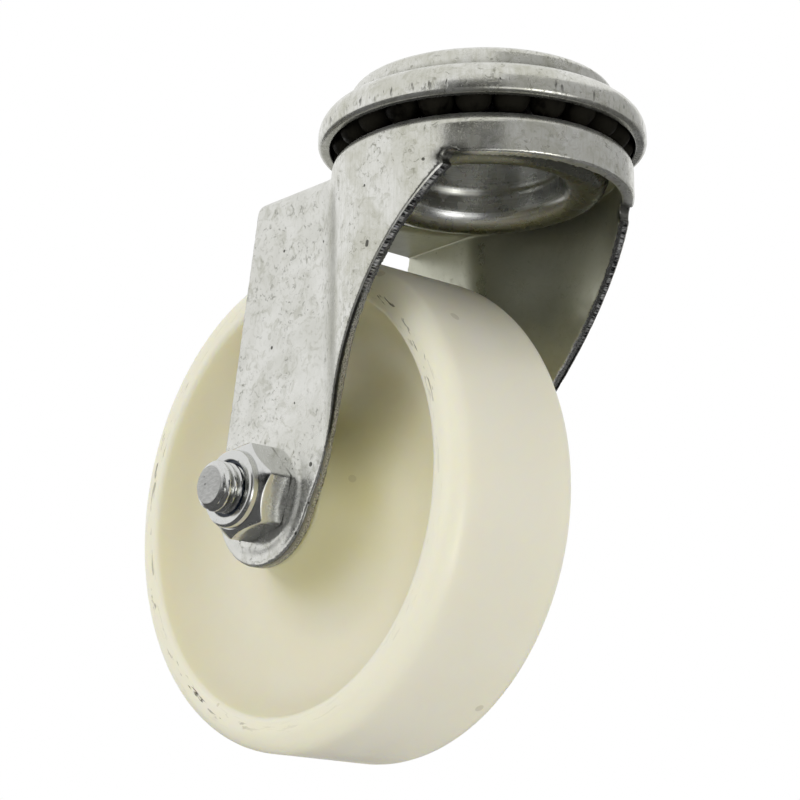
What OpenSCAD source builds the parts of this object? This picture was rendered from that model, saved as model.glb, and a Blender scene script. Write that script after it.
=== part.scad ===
// Swivel castor with a bolt-hole fitting: a dished nylon wheel in a pressed steel fork that turns
// on two rows of loose balls between two riveted cups.
// Origin: centre of the top face, on the swivel axis. Z is up, the axle lies along Y, and the wheel
// trails towards -X. All sizes are in millimetres.

/* [Wheel] */
// Outside diameter of the wheel
wheel_d = 100; // [94:1:104]
// Width of the wheel across its rims
wheel_w = 32.5; // [28:0.5:35]
// Rounding between tread and side face
tread_corner_r = 4.2; // [2:0.2:5]
// Diameter inside the rim, where the dish begins
dish_d = 87; // [80:1:88]
// Diameter of the hub at its ends
hub_d = 28; // [24:1:32]

/* [Axle] */
// Horizontal distance from the swivel axis back to the axle
trail = 40.5; // [38:0.5:44]
// Depth of the axle below the top face
axle_drop = 77.7; // [75.5:0.1:84]
// Thread diameter of the axle bolt
axle_bolt_d = 10; // [8:0.5:11]
// Width across flats of the bolt head and the nut
hex_af = 17; // [16:0.5:19]
// Height of the bolt head
bolt_head_h = 6.4; // [5:0.2:8]
// Height of the hexagon on the nut
nut_hex_h = 6.6; // [6:0.2:9]
// Height of the round collar on the nut
nut_collar_h = 1.8; // [1.4:0.1:3]
// How far the spanner left the nut turned, in degrees
nut_turn = 12; // [0:1:59]
// Length of bolt that stands out of the nut
bolt_end = 4.5; // [1.2:0.1:6]
// Outside diameter of the sleeve that the wheel turns on
tube_d = 15; // [14:0.5:18]

/* [Fork] */
// Thickness of the fork's sheet
fork_t = 2.5; // [2:0.1:3]
// How far the crown's wall lies inside the dust skirt's outer face
crown_inset = 2.7; // [2.4:0.1:3.2]
// Rounding of the crown's shoulder
dome_r = 4; // [3.4:0.1:5]
// Depth of the lower edge of the front skirt below the top face
skirt_drop = 22.8; // [21:0.2:24]
// Distance between the outer faces of the two flat rear panels
panel_span = 44; // [42:0.5:48]
// Depth of the channel's roof below the top face
roof_drop = 16.1; // [15:0.1:17]
// Outside radius of the bend between roof and panels
roof_bend_r = 2.6; // [2.6:0.2:5]
// Distance from the swivel axis back to the channel's rear edge
rear_reach = 43.2; // [41:0.2:46]
// Radius of the bend where the round front wall runs into the flat panel
crease_r = 3; // [1:0.5:5]
// Radius of the round lower end of each leg
leg_end_r = 14.3; // [12.5:0.1:15]
// How far the front corner of each leg reaches ahead of the swivel axis
leg_front = 16; // [13:0.1:18]
// Depth of the hollow in each leg's front edge
front_bow = 2.3; // [0.5:0.1:3]
// Radius of the relief notch between skirt and leg
notch_r = 1.5; // [1:0.1:2]
// Radius of the raised pad round each axle hole
pad_r = 11.5; // [10.5:0.5:12]
// Height of that pad
pad_h = 0.4; // [0.2:0.1:0.8]

/* [Top cup] */
// Thickness of the top cup's sheet
cup_t = 2.5; // [2.2:0.1:2.8]
// Outside radius of the dust skirt
flange_r = 32.5; // [30:0.1:38]
// Width of the step from the dust skirt in to the raised drum
drum_step = 5.9; // [5.8:0.1:6.9]
// Rounding of the drum's top edge
drum_corner_r = 1; // [0.4:0.1:2]
// Depth of the step at the drum's foot below the top face
flange_top = 4.5; // [4:0.1:5]
// Depth of the dust skirt's lower edge below the top face
flange_drop = 11.8; // [11.2:0.1:12.4]
// Rounding of the dust skirt's shoulder
flange_corner_r = 5.4; // [4.8:0.1:5.8]

/* [Swivel bearing] */
// Number of upper balls; their size follows, so that they fill their circle
upper_balls = 23; // [22:1:25]
// Number of lower balls; their size follows, so that they fill their circle
lower_balls = 24; // [23:1:25]
// How far the lower row's circle lies inside the upper row's
row_step = 5.9; // [5.6:0.1:6.6]
// Thickness of the lower cup's sheet
lower_cup_t = 1.6; // [1.4:0.1:2]
// Diameter of the hole for the mounting bolt
bolt_hole_d = 12.5; // [10:0.5:13]
// Wall of the hollow rivet that holds the two cups together
rivet_wall = 1.8; // [1.4:0.1:2.2]
// Height of the rivet's flared ends
rivet_flare = 1.6; // [1.2:0.1:1.8]

/* [Hidden] */
$fn = 96;

// Clearances
ball_gap = 0.1;      // between a ball and each race
ball_play = 0.2;     // between two balls of a row
wheel_gap = 0.08;    // radial, between the wheel's bore and the sleeve
hub_gap = 0.4;       // between a hub end and the fork
axle_hole_gap = 0.2; // radial, round the axle bolt
thread_gap = 0.1;    // radial, between bolt and nut
insert_gap = 0.05;   // round the nylon ring in the nut
rivet_gap = 0.05;    // radial, between the rivet and the cups
crown_gap = 1.5;     // radial, between the crown's hole and the lower cup
rim_gap = 1;         // between the lower cup's rim and the crown above it
race_gap = 0.2;      // how much wider the lower cup's trough is than its balls
cut = 1;             // how far a cutting shape runs past the face that it cuts

// Axle and fork levels
wheel_r = wheel_d / 2;
panel_out = panel_span / 2;
panel_in = panel_out - fork_t;
hub_half = panel_in - hub_gap;
pad_face = panel_out + pad_h;
axle_z = -axle_drop;
bolt_r = axle_bolt_d / 2;
bolt_chamfer = 0.6;
tube_r = tube_d / 2;

// Nut and bolt head
hex_r = hex_af / 2 / cos(30);
hex_chamfer_angle = 30;
nut_h = nut_hex_h + nut_collar_h;
collar_inset = 0.8;
collar_wall = 1.1;
collar_lip = 0.5;
collar_overlap = 0.4; // how far the rolled lip reaches over the nylon ring
collar_r = hex_af / 2 - collar_inset;
collar_corner_r = 0.8;
insert_seat_r = collar_r - collar_wall;
collar_mouth_r = insert_seat_r - collar_overlap;
insert_seat_h = nut_collar_h - collar_lip;

// Upper row: each ball touches the dust skirt's ceiling and wall, and lies on the crown's shoulder
upper_reach = flange_r - cup_t - ball_gap;
upper_share = sin(180 / upper_balls);
upper_r = (upper_reach * upper_share - ball_play / 2) / (1 + upper_share);
upper_pitch = upper_reach - upper_r;
upper_z = -flange_top - cup_t - ball_gap - upper_r;
drum_r = flange_r - drum_step;

// Crown's shoulder: a torus that the upper balls rest on
crown_r = flange_r - crown_inset;
dome_centre_r = crown_r - dome_r;
dome_centre_z = upper_z - sqrt(pow(dome_r + upper_r + ball_gap, 2) - pow(upper_pitch - dome_centre_r, 2));
crown_top = dome_centre_z + dome_r;
crown_under = crown_top - fork_t;

// Crown's inner bead: an arch over the lower balls, just clear of the upper ones
lower_pitch = upper_pitch - row_step;
lower_r = lower_pitch * sin(180 / lower_balls) - ball_play / 2;
arch_in = lower_r + ball_gap;
arch_out = arch_in + fork_t;
lower_z = upper_z - sqrt(pow(arch_out + upper_r + 2 * ball_gap, 2) - pow(row_step, 2));

// Lower cup: a trough under the lower balls, drawn up in the middle to meet the top cup
race_in = lower_r + race_gap;
race_out = race_in + lower_cup_t;
cup_wall_set = 0.3;
cup_wall_out = lower_pitch - race_in + cup_wall_set;
cup_wall_in = cup_wall_out - lower_cup_t;
cup_rim_z = crown_under - rim_gap;
cup_top = -cup_t;
cup_ceiling = cup_top - lower_cup_t;
cup_corner_r = 4;
crown_hole_r = cup_wall_out + crown_gap;

// Hollow rivet
hole_r = bolt_hole_d / 2;
rivet_r = hole_r + rivet_wall;
rivet_low = cup_ceiling - rivet_flare;

// Legs, drawn in side view as points of x and z
leg_low = axle_z - leg_end_r - cut;
axle_at = [-trail, axle_z];
front_top = [leg_front, -skirt_drop - notch_r];
rear_top = [-rear_reach, -roof_drop];
notch_ahead = 0.6; // how far the notch's centre lies ahead of the leg's corner, in notch radii
notch_below = 0.5; // how far it lies below the skirt, in notch radii
notch_at = [leg_front + notch_ahead * notch_r, -skirt_drop - notch_below * notch_r];
bow_steps = 10;

zinc = [0.78, 0.78, 0.75];
bright_steel = [0.82, 0.82, 0.8];
ball_steel = [0.45, 0.46, 0.47];
cream_nylon = [0.87, 0.84, 0.73];
blue_nylon = [0.13, 0.25, 0.6];

// Name of a ball, such as upper_ball_07
function ball_name(row, i) = str(row, "_ball_", i < 10 ? "0" : "", i);

// Point where the straight line from p touches a circle, on the side given by turn (1 or -1)
function touch_point(p, centre, r, turn) =
    let (d = centre - p, away = atan2(d[1], d[0]), half = asin(r / norm(d)), reach = sqrt(d * d - r * r))
    p + reach * [cos(away + turn * half), sin(away + turn * half)];

// Points from a to b along a parabola that sinks to one side by bow at its middle
function bowed(a, b, bow) =
    let (along = b - a, aside = [along[1], -along[0]] / norm(along))
    [for (i = [0:bow_steps]) let (s = i / bow_steps) a + s * along + 4 * s * (1 - s) * bow * aside];

// Rectangle from the axis out to r and from low up to top, with its upper outer corner rounded
module round_shouldered(r, low, top, corner) {
    translate([0, low]) square([r - corner, top - low]);
    translate([0, low]) square([r, top - corner - low]);
    intersection() {
        translate([r - corner, top - corner]) circle(corner);
        translate([r - corner, top - corner]) square(corner);
    }
}

// Solid of revolution about the axle, from a section of radius against distance towards -Y
module about_axle() {
    translate([-trail, 0, axle_z]) rotate([90, 0, 0]) rotate_extrude() children();
}

// Cylinder on the axle's line
module along_axle(r, from_y, to_y) {
    translate([-trail, to_y, axle_z]) rotate([90, 0, 0]) cylinder(r = r, h = to_y - from_y);
}

// Hexagon from z = 0 up to h, with the corners of its upper end chamfered
module chamfered_hex(h) {
    wide = hex_r + cut;
    inscribed = hex_af / 2;
    intersection() {
        cylinder(r = hex_r, h = h, $fn = 6);
        rotate_extrude() polygon([
            [0, 0], [wide, 0], [wide, h - (wide - inscribed) * tan(hex_chamfer_angle)], [inscribed, h], [0, h]
        ]);
    }
}

module top_cup() {
    color(zinc) difference() {
        rotate_extrude() difference() {
            union() {
                round_shouldered(drum_r, -flange_drop, 0, drum_corner_r);
                round_shouldered(flange_r, -flange_drop, -flange_top, flange_corner_r);
            }
            translate([0, -flange_drop - cut]) square([drum_r - cup_t, flange_drop + cut - cup_t]);
            round_shouldered(flange_r - cup_t, -flange_drop - cut, -flange_top - cup_t, flange_corner_r - cup_t);
        }
        translate([0, 0, -cup_t - cut]) cylinder(r = rivet_r + rivet_gap, h = cup_t + 2 * cut);
        translate([0, 0, -rivet_flare])
            cylinder(r1 = rivet_r + rivet_gap, r2 = rivet_r + rivet_flare + rivet_gap, h = rivet_flare);
    }
}

module king_rivet() {
    color(bright_steel) rotate_extrude() polygon([
        [hole_r, 0], [rivet_r + rivet_flare, 0], [rivet_r, -rivet_flare],
        [rivet_r, cup_ceiling], [rivet_r + rivet_flare, cup_ceiling], [rivet_r, rivet_low], [hole_r, rivet_low]
    ]);
}

module lower_cup() {
    trough_at = [lower_pitch, lower_z];
    color(bright_steel) rotate_extrude() difference() {
        union() {
            translate(trough_at) circle(race_out);
            round_shouldered(cup_wall_out, lower_z - race_in / 2, cup_top, cup_corner_r);
        }
        translate(trough_at) circle(race_in);
        translate([cup_wall_out, lower_z]) square(2 * race_out);
        translate([lower_pitch, cup_rim_z]) square(2 * race_out);
        round_shouldered(cup_wall_in, lower_z - race_out - cut, cup_ceiling, cup_corner_r - lower_cup_t);
        translate([0, cup_ceiling - cut]) square([rivet_r + rivet_gap, lower_cup_t + 2 * cut]);
    }
}

// Form of the fork before its outline is cut, or of the space inside its sheet at that inset:
// the crown with its shoulder and bead, the roofed channel behind it, and the bends where they meet
module fork_form(inset) {
    bend_y = panel_out + crease_r;
    bend_x = -sqrt(pow(crown_r + crease_r, 2) - pow(bend_y, 2));
    rotate_extrude() {
        round_shouldered(crown_r - inset, leg_low, crown_top - inset, dome_r - inset);
        translate([lower_pitch, lower_z]) circle(arch_out - inset);
    }
    rotate([90, 0, -90]) linear_extrude(rear_reach + leg_end_r + cut) {
        for (side = [0, 1]) mirror([side, 0])
            round_shouldered(panel_out - inset, leg_low, -roof_drop - inset, roof_bend_r - inset);
    }
    for (side = [0, 1]) mirror([0, side, 0])
        translate([0, 0, leg_low]) linear_extrude(-roof_drop - roof_bend_r - leg_low) difference() {
            polygon([[0, 0], [bend_x, 0], [bend_x, bend_y]]);
            translate([bend_x, bend_y]) circle(crease_r + inset);
        }
}

// Outline of the fork in side view
module fork_outline() {
    front_touch = touch_point(front_top, axle_at, leg_end_r, 1);
    rear_touch = touch_point(rear_top, axle_at, leg_end_r, -1);
    difference() {
        union() {
            polygon(concat(
                [rear_touch, rear_top, [rear_top[0], cut], [front_top[0], cut]],
                bowed(front_top, front_touch, front_bow)
            ));
            translate(axle_at) circle(leg_end_r);
            translate([-rear_reach, -skirt_drop]) square([rear_reach + crown_r + cut, skirt_drop + cut]);
        }
        translate(notch_at) circle(notch_r);
        translate(axle_at) circle(bolt_r + axle_hole_gap);
    }
}

module fork() {
    color(zinc) {
        intersection() {
            difference() {
                fork_form(0);
                fork_form(fork_t);
                translate([0, 0, crown_under - cut])
                    cylinder(r = crown_hole_r, h = lower_z + arch_out - crown_under + 2 * cut);
            }
            translate([0, crown_r + cut, 0]) rotate([90, 0, 0]) linear_extrude(2 * (crown_r + cut)) fork_outline();
        }
        for (side = [0, 1]) mirror([0, side, 0]) difference() {
            along_axle(pad_r, panel_in, pad_face);
            along_axle(bolt_r + axle_hole_gap, panel_in - cut, pad_face + cut);
        }
    }
}

module axle_tube() {
    color(bright_steel) difference() {
        along_axle(tube_r, -panel_in, panel_in);
        along_axle(bolt_r + axle_hole_gap, -panel_in - cut, panel_in + cut);
    }
}

module axle_bolt() {
    tip = pad_face + nut_h + bolt_end;
    color(bright_steel) {
        translate([-trail, pad_face, axle_z]) rotate([-90, 0, 0]) chamfered_hex(bolt_head_h);
        about_axle() polygon([
            [0, -pad_face], [bolt_r, -pad_face], [bolt_r, tip - bolt_chamfer], [bolt_r - bolt_chamfer, tip], [0, tip]
        ]);
    }
}

module lock_nut() {
    color(bright_steel) translate([-trail, -pad_face, axle_z]) rotate([90, 0, 0]) difference() {
        union() {
            rotate(nut_turn) chamfered_hex(nut_hex_h);
            rotate_extrude() round_shouldered(collar_r, 0, nut_h, collar_corner_r);
        }
        translate([0, 0, -cut]) cylinder(r = bolt_r + thread_gap, h = nut_h + 2 * cut);
        translate([0, 0, nut_hex_h]) cylinder(r = insert_seat_r, h = insert_seat_h);
        translate([0, 0, nut_hex_h]) cylinder(r = collar_mouth_r, h = nut_collar_h + cut);
    }
}

module nut_insert() {
    color(blue_nylon) translate([-trail, -pad_face - nut_hex_h, axle_z]) rotate([90, 0, 0]) difference() {
        cylinder(r = insert_seat_r - insert_gap, h = insert_seat_h - insert_gap);
        translate([0, 0, -cut]) cylinder(r = bolt_r + insert_gap, h = insert_seat_h + 2 * cut);
    }
}

module wheel() {
    dish_centre_r = (dish_d + hub_d) / 4;
    dish_r = (dish_d - hub_d) / 4;
    color(cream_nylon) about_axle() difference() {
        union() {
            for (side = [0, 1]) mirror([0, side])
                round_shouldered(wheel_r, -cut, wheel_w / 2, tread_corner_r);
            translate([0, -hub_half]) square([hub_d / 2, 2 * hub_half]);
        }
        for (side = [-1, 1]) translate([dish_centre_r, side * hub_half]) circle(dish_r);
        translate([0, -hub_half - cut]) square([tube_r + wheel_gap, 2 * (hub_half + cut)]);
    }
}

// Ball number i of a row of count balls
module ball(pitch, z, r, i, count) {
    color(ball_steel) rotate([0, 0, 360 * i / count]) translate([pitch, 0, z]) sphere(r);
}

module upper_ball(i) {
    ball(upper_pitch, upper_z, upper_r, i, upper_balls);
}

module lower_ball(i) {
    ball(lower_pitch, lower_z, lower_r, i, lower_balls);
}

top_cup();
king_rivet();
lower_cup();
fork();
axle_tube();
axle_bolt();
lock_nut();
nut_insert();
wheel();
for (i = [1:upper_balls]) upper_ball(i);
for (i = [1:lower_balls]) lower_ball(i);
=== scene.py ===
"""Swivel castor: pressings, moulding, fasteners, finishes and stage, built round the fixed frame."""
import math

import bmesh
import bpy
import numpy as np
from bpy.props import FloatProperty, FloatVectorProperty, PointerProperty
from mathutils import Matrix, Vector


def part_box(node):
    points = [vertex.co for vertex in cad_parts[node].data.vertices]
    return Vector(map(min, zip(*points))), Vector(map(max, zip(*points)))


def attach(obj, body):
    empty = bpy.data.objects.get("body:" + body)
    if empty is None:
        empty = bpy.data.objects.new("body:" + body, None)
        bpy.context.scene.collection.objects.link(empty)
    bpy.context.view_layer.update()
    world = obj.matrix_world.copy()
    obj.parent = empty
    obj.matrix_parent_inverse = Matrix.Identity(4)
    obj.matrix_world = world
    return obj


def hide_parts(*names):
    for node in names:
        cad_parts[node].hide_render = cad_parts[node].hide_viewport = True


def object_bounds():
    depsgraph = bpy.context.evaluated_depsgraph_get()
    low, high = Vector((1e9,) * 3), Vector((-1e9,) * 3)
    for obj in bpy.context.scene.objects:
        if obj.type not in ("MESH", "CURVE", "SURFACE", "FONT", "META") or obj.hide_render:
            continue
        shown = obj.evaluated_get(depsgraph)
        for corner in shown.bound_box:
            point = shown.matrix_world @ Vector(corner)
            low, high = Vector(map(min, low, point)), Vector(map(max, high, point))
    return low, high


bl_info = {
    "name": "Swivel castor",
    "version": (1, 0, 0),
    "blender": (4, 5, 0),
    "location": "3D View > Sidebar > Castor",
    "description": "Builds the castor's pressings, wheel, fasteners, finishes and stage round its frame",
    "category": "Object",
}

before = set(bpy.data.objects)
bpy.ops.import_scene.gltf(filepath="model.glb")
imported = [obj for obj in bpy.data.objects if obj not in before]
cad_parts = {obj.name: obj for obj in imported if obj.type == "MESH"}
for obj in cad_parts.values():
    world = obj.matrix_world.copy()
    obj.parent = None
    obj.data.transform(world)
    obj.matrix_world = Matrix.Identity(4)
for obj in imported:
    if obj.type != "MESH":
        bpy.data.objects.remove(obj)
CAD_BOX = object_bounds()
MIDDLE = (Vector(CAD_BOX[0]) + Vector(CAD_BOX[1])) / 2
MM = 0.001
RIVET_GAP = 0.05 * MM  # between the rivet and the holes in the cups

UPRIGHT = np.eye(3)                                         # turned about the swivel axis
TO_NUT = np.array([[1, 0, 0], [0, 0, 1], [0, -1, 0]], float)  # along the axle, towards the nut


def length(name, mm, description):
    """A size in metres, given here in millimetres."""
    return FloatProperty(name=name, description=description, default=mm * MM, unit="LENGTH", precision=5)


def angle(name, degrees, description):
    """An angle in radians, given here in degrees."""
    return FloatProperty(name=name, description=description, default=math.radians(degrees), subtype="ANGLE")


def colour(name, rgb, description):
    """The colour of a finish."""
    return FloatVectorProperty(name=name, description=description, default=rgb, subtype="COLOR",
                               size=3, min=0, max=1)


def level(name, value, description):
    """A plain amount from 0 upwards."""
    return FloatProperty(name=name, description=description, default=value, min=0)


class CastorWheelSizes(bpy.types.PropertyGroup):
    """Sizes of the wheel and of the axle's pieces."""
    trail: length("Trail", 40.5, "Distance from the swivel axis back to the axle")
    axle_drop: length("Axle depth", 77.7, "Depth of the axle below the top face")
    wheel_r: length("Wheel radius", 50, "Outside radius of the tread")
    wheel_half: length("Half width", 16.25, "Half the width across the rims")
    tread_corner_r: length("Tread corner", 4.2, "Rounding between tread and side face")
    dish_mid: length("Dish circle", 28.75, "Radius of the ring that the dish's section is centred on")
    dish_r: length("Dish section", 14.75, "Radius of the dish's round section")
    hub_half: length("Hub half length", 19.1, "Half the length of the hub")
    hub_r: length("Hub radius", 14, "Radius of the hub at its ends")
    bore_r: length("Bore radius", 7.58, "Radius of the bore that runs on the sleeve")
    lip_r: length("Lip rounding", 1.6, "Rounding of the rim's inner edge")
    bolt_r: length("Bolt radius", 5, "Outside radius of the bolt's thread")
    thread_pitch: length("Thread pitch", 1.5, "Distance between two turns of the thread")
    thread_depth: length("Thread depth", 0.9, "Depth of the thread")
    bolt_tip: length("Bolt tip", 35.3, "Distance of the bolt's end from the wheel's middle")
    seat: length("Nut seat", 22.4, "Distance of the nut's seat from the wheel's middle")
    nut_hex_h: length("Nut hexagon", 6.6, "Height of the nut's hexagon")
    nut_h: length("Nut height", 8.4, "Height of the nut with its collar")
    head_h: length("Bolt head", 6.4, "Height of the bolt's head")
    hex_half: length("Half flats", 8.5, "Half the width across flats of nut and head")
    collar_r: length("Collar radius", 7.7, "Outside radius of the nut's collar")
    ring_r: length("Ring seat", 6.6, "Radius of the seat for the nylon ring")
    mouth_r: length("Collar mouth", 5.6, "Inside radius of the collar's rolled lip")
    lip_h: length("Collar lip", 0.5, "Height of the lip over the nylon ring")
    bolt_chamfer: length("Bolt chamfer", 1.3, "Chamfer on the bolt's end")
    nut_turn: angle("Nut turn", 12, "How far the spanner left the nut turned")


class CastorHeadSizes(bpy.types.PropertyGroup):
    """Sizes of the fork and of the two cups."""
    fork_t: length("Fork sheet", 2.5, "Thickness of the fork's sheet")
    crown_r: length("Crown radius", 29.8, "Outside radius of the crown")
    crown_top: length("Crown top", -14.167, "Level of the crown's top face")
    dome_r: length("Crown shoulder", 2.8, "Rounding of the crown's shoulder")
    bead_mid: length("Bead circle", 20.505, "Radius of the circle that the bead follows")
    bead_z: length("Bead level", -17.221, "Level of the bead's centre")
    bead_r: length("Bead radius", 5.176, "Outside radius of the bead's section")
    crown_hole_r: length("Crown hole", 19.528, "Radius of the hole in the crown")
    panel_out: length("Half span", 22, "Distance of the flat panels' outer faces from the middle")
    roof_drop: length("Roof depth", 16.1, "Depth of the channel's roof below the top face")
    roof_bend_r: length("Roof bend", 2.6, "Outside radius of the bend between roof and panels")
    rear_reach: length("Rear reach", 43.2, "Distance from the swivel axis back to the channel's rear edge")
    crease_r: length("Crease bend", 3, "Radius of the bend between the round front and the flat panel")
    skirt_drop: length("Skirt depth", 22.8, "Depth of the front skirt's lower edge")
    leg_end_r: length("Leg end", 14.3, "Radius of each leg's round lower end")
    leg_front: length("Leg front", 16, "How far each leg's front corner reaches ahead of the swivel axis")
    front_bow: length("Front bow", 2.3, "Depth of the hollow in each leg's front edge")
    notch_r: length("Notch radius", 1.5, "Radius of the relief notch between skirt and leg")
    pad_r: length("Pad radius", 11.5, "Radius of the raised pad round each axle hole")
    pad_face: length("Pad face", 22.4, "Distance of the pad's face from the middle")
    pad_ramp: length("Pad ramp", 1.2, "Half the width of the slope round that pad")
    axle_hole_r: length("Axle hole", 5.2, "Radius of the holes for the axle bolt")
    edge_roll: length("Rolled edge", 0.55, "Rounding that the punch leaves on the outer edge")
    edge_burr: length("Inner edge", 0.22, "Rounding of the sheared inner edge")
    mesh_step: length("Fork mesh", 0.56, "Size of the squares in the fork's mesh")
    flange_r: length("Dust skirt", 32.5, "Outside radius of the dust skirt")
    flange_top: length("Step depth", 4.5, "Depth of the step at the drum's foot")
    flange_drop: length("Dust skirt depth", 11.8, "Depth of the dust skirt's lower edge")
    flange_corner_r: length("Dust skirt shoulder", 5.4, "Rounding of the dust skirt's shoulder")
    drum_r: length("Drum radius", 26.6, "Radius of the raised drum")
    drum_draft: length("Drum draft", 0.5, "How much narrower the drum is at its top")
    cup_t: length("Top cup sheet", 2.5, "Thickness of the top cup's sheet")
    rivet_r: length("Rivet radius", 8.05, "Outside radius of the hollow rivet")
    rivet_hole_r: length("Bolt hole", 6.25, "Radius of the hole for the mounting bolt")
    rivet_flare: length("Rivet flare", 1.6, "Height of the rivet's flared ends")
    lower_t: length("Lower cup sheet", 1.6, "Thickness of the lower cup's sheet")
    race_in: length("Trough radius", 2.776, "Inside radius of the lower cup's trough")
    wall_out: length("Lower cup wall", 18.028, "Outside radius of the lower cup's wall")
    lower_rim_z: length("Lower cup rim", -17.667, "Level of the lower cup's rim")
    lower_corner_r: length("Lower cup corner", 4, "Outside rounding of the lower cup's ceiling")
    lower_draft: length("Lower cup draft", 1.7, "How much narrower the lower cup's recess is at its ceiling")
    draw_step_z: length("Draw step", -14.4, "Level of the step that the second draw left in that wall")
    draw_step: length("Draw step width", 0.06, "Width of that step")


class CastorFinish(bpy.types.PropertyGroup):
    """Colours of the finishes."""
    zinc: colour("Zinc", (0.73, 0.73, 0.695), "Satin zinc plating")
    zinc_stain: colour("Zinc stain", (0.34, 0.34, 0.265), "Stains and rubbed speckle in the plating")
    bright: colour("Bright steel", (0.64, 0.645, 0.63), "Bright plating of cups, nut and bolt")
    sheared: colour("Sheared edge", (0.22, 0.22, 0.21), "Bare sheared edge of the sheet")
    # Painted shade on the fork's inner faces
    inside: colour("Inside", (0.48, 0.485, 0.38), "Dull, greasy inside of the pressings")
    # Near black: grease and painted shade for the bearing's gap
    ball: colour("Balls", (0.004, 0.0036, 0.003), "Greasy bearing balls")
    nylon: colour("Nylon", (0.82, 0.795, 0.67), "Cream moulding of the wheel")
    # Used for stains, and for the yellowing and painted shade in the dish and round the hub
    nylon_stain_and_shade: colour("Nylon stain", (0.78, 0.73, 0.42), "Yellowed and greasy nylon")
    # Painted shade under the lower cup and in the bolt's thread
    olive_shade: colour("Olive film", (0.17, 0.17, 0.125), "Greasy film under the lower cup")
    scuff: colour("Scuffs", (0.10, 0.085, 0.055), "Dirt in scuffs and scratches")
    blue: colour("Ring", (0.006, 0.02, 0.05), "Blue nylon ring in the nut")
    # Grease and painted shade: the near black of the bearing's gap
    grease_and_shade: colour("Grease", (0.012, 0.011, 0.008), "Dark grease in the bearing")


class CastorStage(bpy.types.PropertyGroup):
    """Camera and lights."""
    camera_turn: angle("Camera azimuth", 48.429, "Angle of the camera round the castor")
    camera_rise: angle("Camera elevation", -15.216, "Angle of the camera above the horizon")
    camera_roll: angle("Camera roll", 0.07, "Turn of the camera about its line of sight")
    camera_far: length("Camera distance", 499.93, "Distance of the camera from the point it looks at")
    camera_at: FloatVectorProperty(name="Camera target", description="Point that the camera looks at",
                                   default=(-0.02305, -0.001245, -0.058076), subtype="XYZ",
                                   unit="LENGTH", size=3)
    lens: FloatProperty(name="Lens", description="Focal length in millimetres", default=112.81)
    key: level("Key light", 1.3, "Power of the large light on the left, in watts")
    fill: level("Fill light", 0.8, "Power of the low light on the right, in watts")
    ambient: level("Ambient", 0.73, "Brightness of the surroundings as diffuse light")


def sizes():
    """The wheel's sizes and the head's."""
    scene = bpy.context.scene
    return scene.castor_wheel, scene.castor_head


# Meshes

def rounded(corners, steps=6):
    """Closed outline through corners of (radius, height, rounding), as points."""
    at = [np.array(c[:2], float) for c in corners]
    ahead = [b - a for a, b in zip(at, at[1:] + at[:1])]
    side = [np.linalg.norm(v) for v in ahead]
    ahead = [v / n for v, n in zip(ahead, side)]
    half, reach = [], []
    for i, corner in enumerate(corners):
        half.append(math.acos(float(np.clip(-ahead[i - 1] @ ahead[i], -1, 1))) / 2)
        reach.append(corner[2] / math.tan(half[i]) if half[i] < math.radians(89) else 0)
    room = [min(1, 0.98 * n / max(a + b, 1e-9)) for n, a, b in zip(side, reach, reach[1:] + reach[:1])]
    points = []
    for i, middle in enumerate(at):
        far = reach[i] * min(room[i - 1], room[i])
        if far <= 0:
            points.append(middle)
            continue
        r = far * math.tan(half[i])
        inward = ahead[i] - ahead[i - 1]
        centre = middle + inward / np.linalg.norm(inward) * r / math.sin(half[i])
        first, last = middle - ahead[i - 1] * far - centre, middle + ahead[i] * far - centre
        start = math.atan2(first[1], first[0])
        sweep = (math.atan2(last[1], last[0]) - start + math.pi) % (2 * math.pi) - math.pi
        for k in range(steps + 1):
            a = start + sweep * k / steps
            points.append(centre + r * np.array((math.cos(a), math.sin(a))))
    return points


def arc(x, y, r, start, end, steps):
    """Points on an arc, with angles in radians, as corners without rounding."""
    return [(x + r * math.cos(a), y + r * math.sin(a), 0) for a in np.linspace(start, end, steps + 1)]


def spaced(points, step):
    """The closed outline with its long sides divided so that none is longer than step."""
    out = []
    for a, b in zip(points, points[1:] + points[:1]):
        n = max(1, math.ceil(np.linalg.norm(b - a) / step))
        out += [a + (b - a) * k / n for k in range(n)]
    return out


def add_object(name, data):
    """Object in the scene with this data."""
    made = bpy.data.objects.new(name, data)
    bpy.context.scene.collection.objects.link(made)
    return made


def add_mesh(name, points, faces, material):
    """Mesh object of one material."""
    mesh = bpy.data.meshes.new(name)
    mesh.from_pydata([tuple(p) for p in points], [], faces)
    mesh.materials.append(material)
    return add_object(name, mesh)


def new_piece(name, points, faces, body, finish, replaced):
    """Smooth piece that rides on a body and takes the place of CAD nodes."""
    piece = add_mesh(name, points, faces, finish_for(finish))
    piece.data.validate()
    piece.data.polygons.foreach_set("use_smooth", [True] * len(piece.data.polygons))
    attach(piece, body)
    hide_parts(*replaced)
    return piece


def crisp(piece, angle=35):
    """Joins points that coincide and keeps edges sharper than the angle, in degrees, sharp."""
    work = bmesh.new()
    work.from_mesh(piece.data)
    bmesh.ops.remove_doubles(work, verts=work.verts, dist=0.0001 * MM)
    work.to_mesh(piece.data)
    work.free()
    piece.data.set_sharp_from_angle(angle=math.radians(angle))


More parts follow.
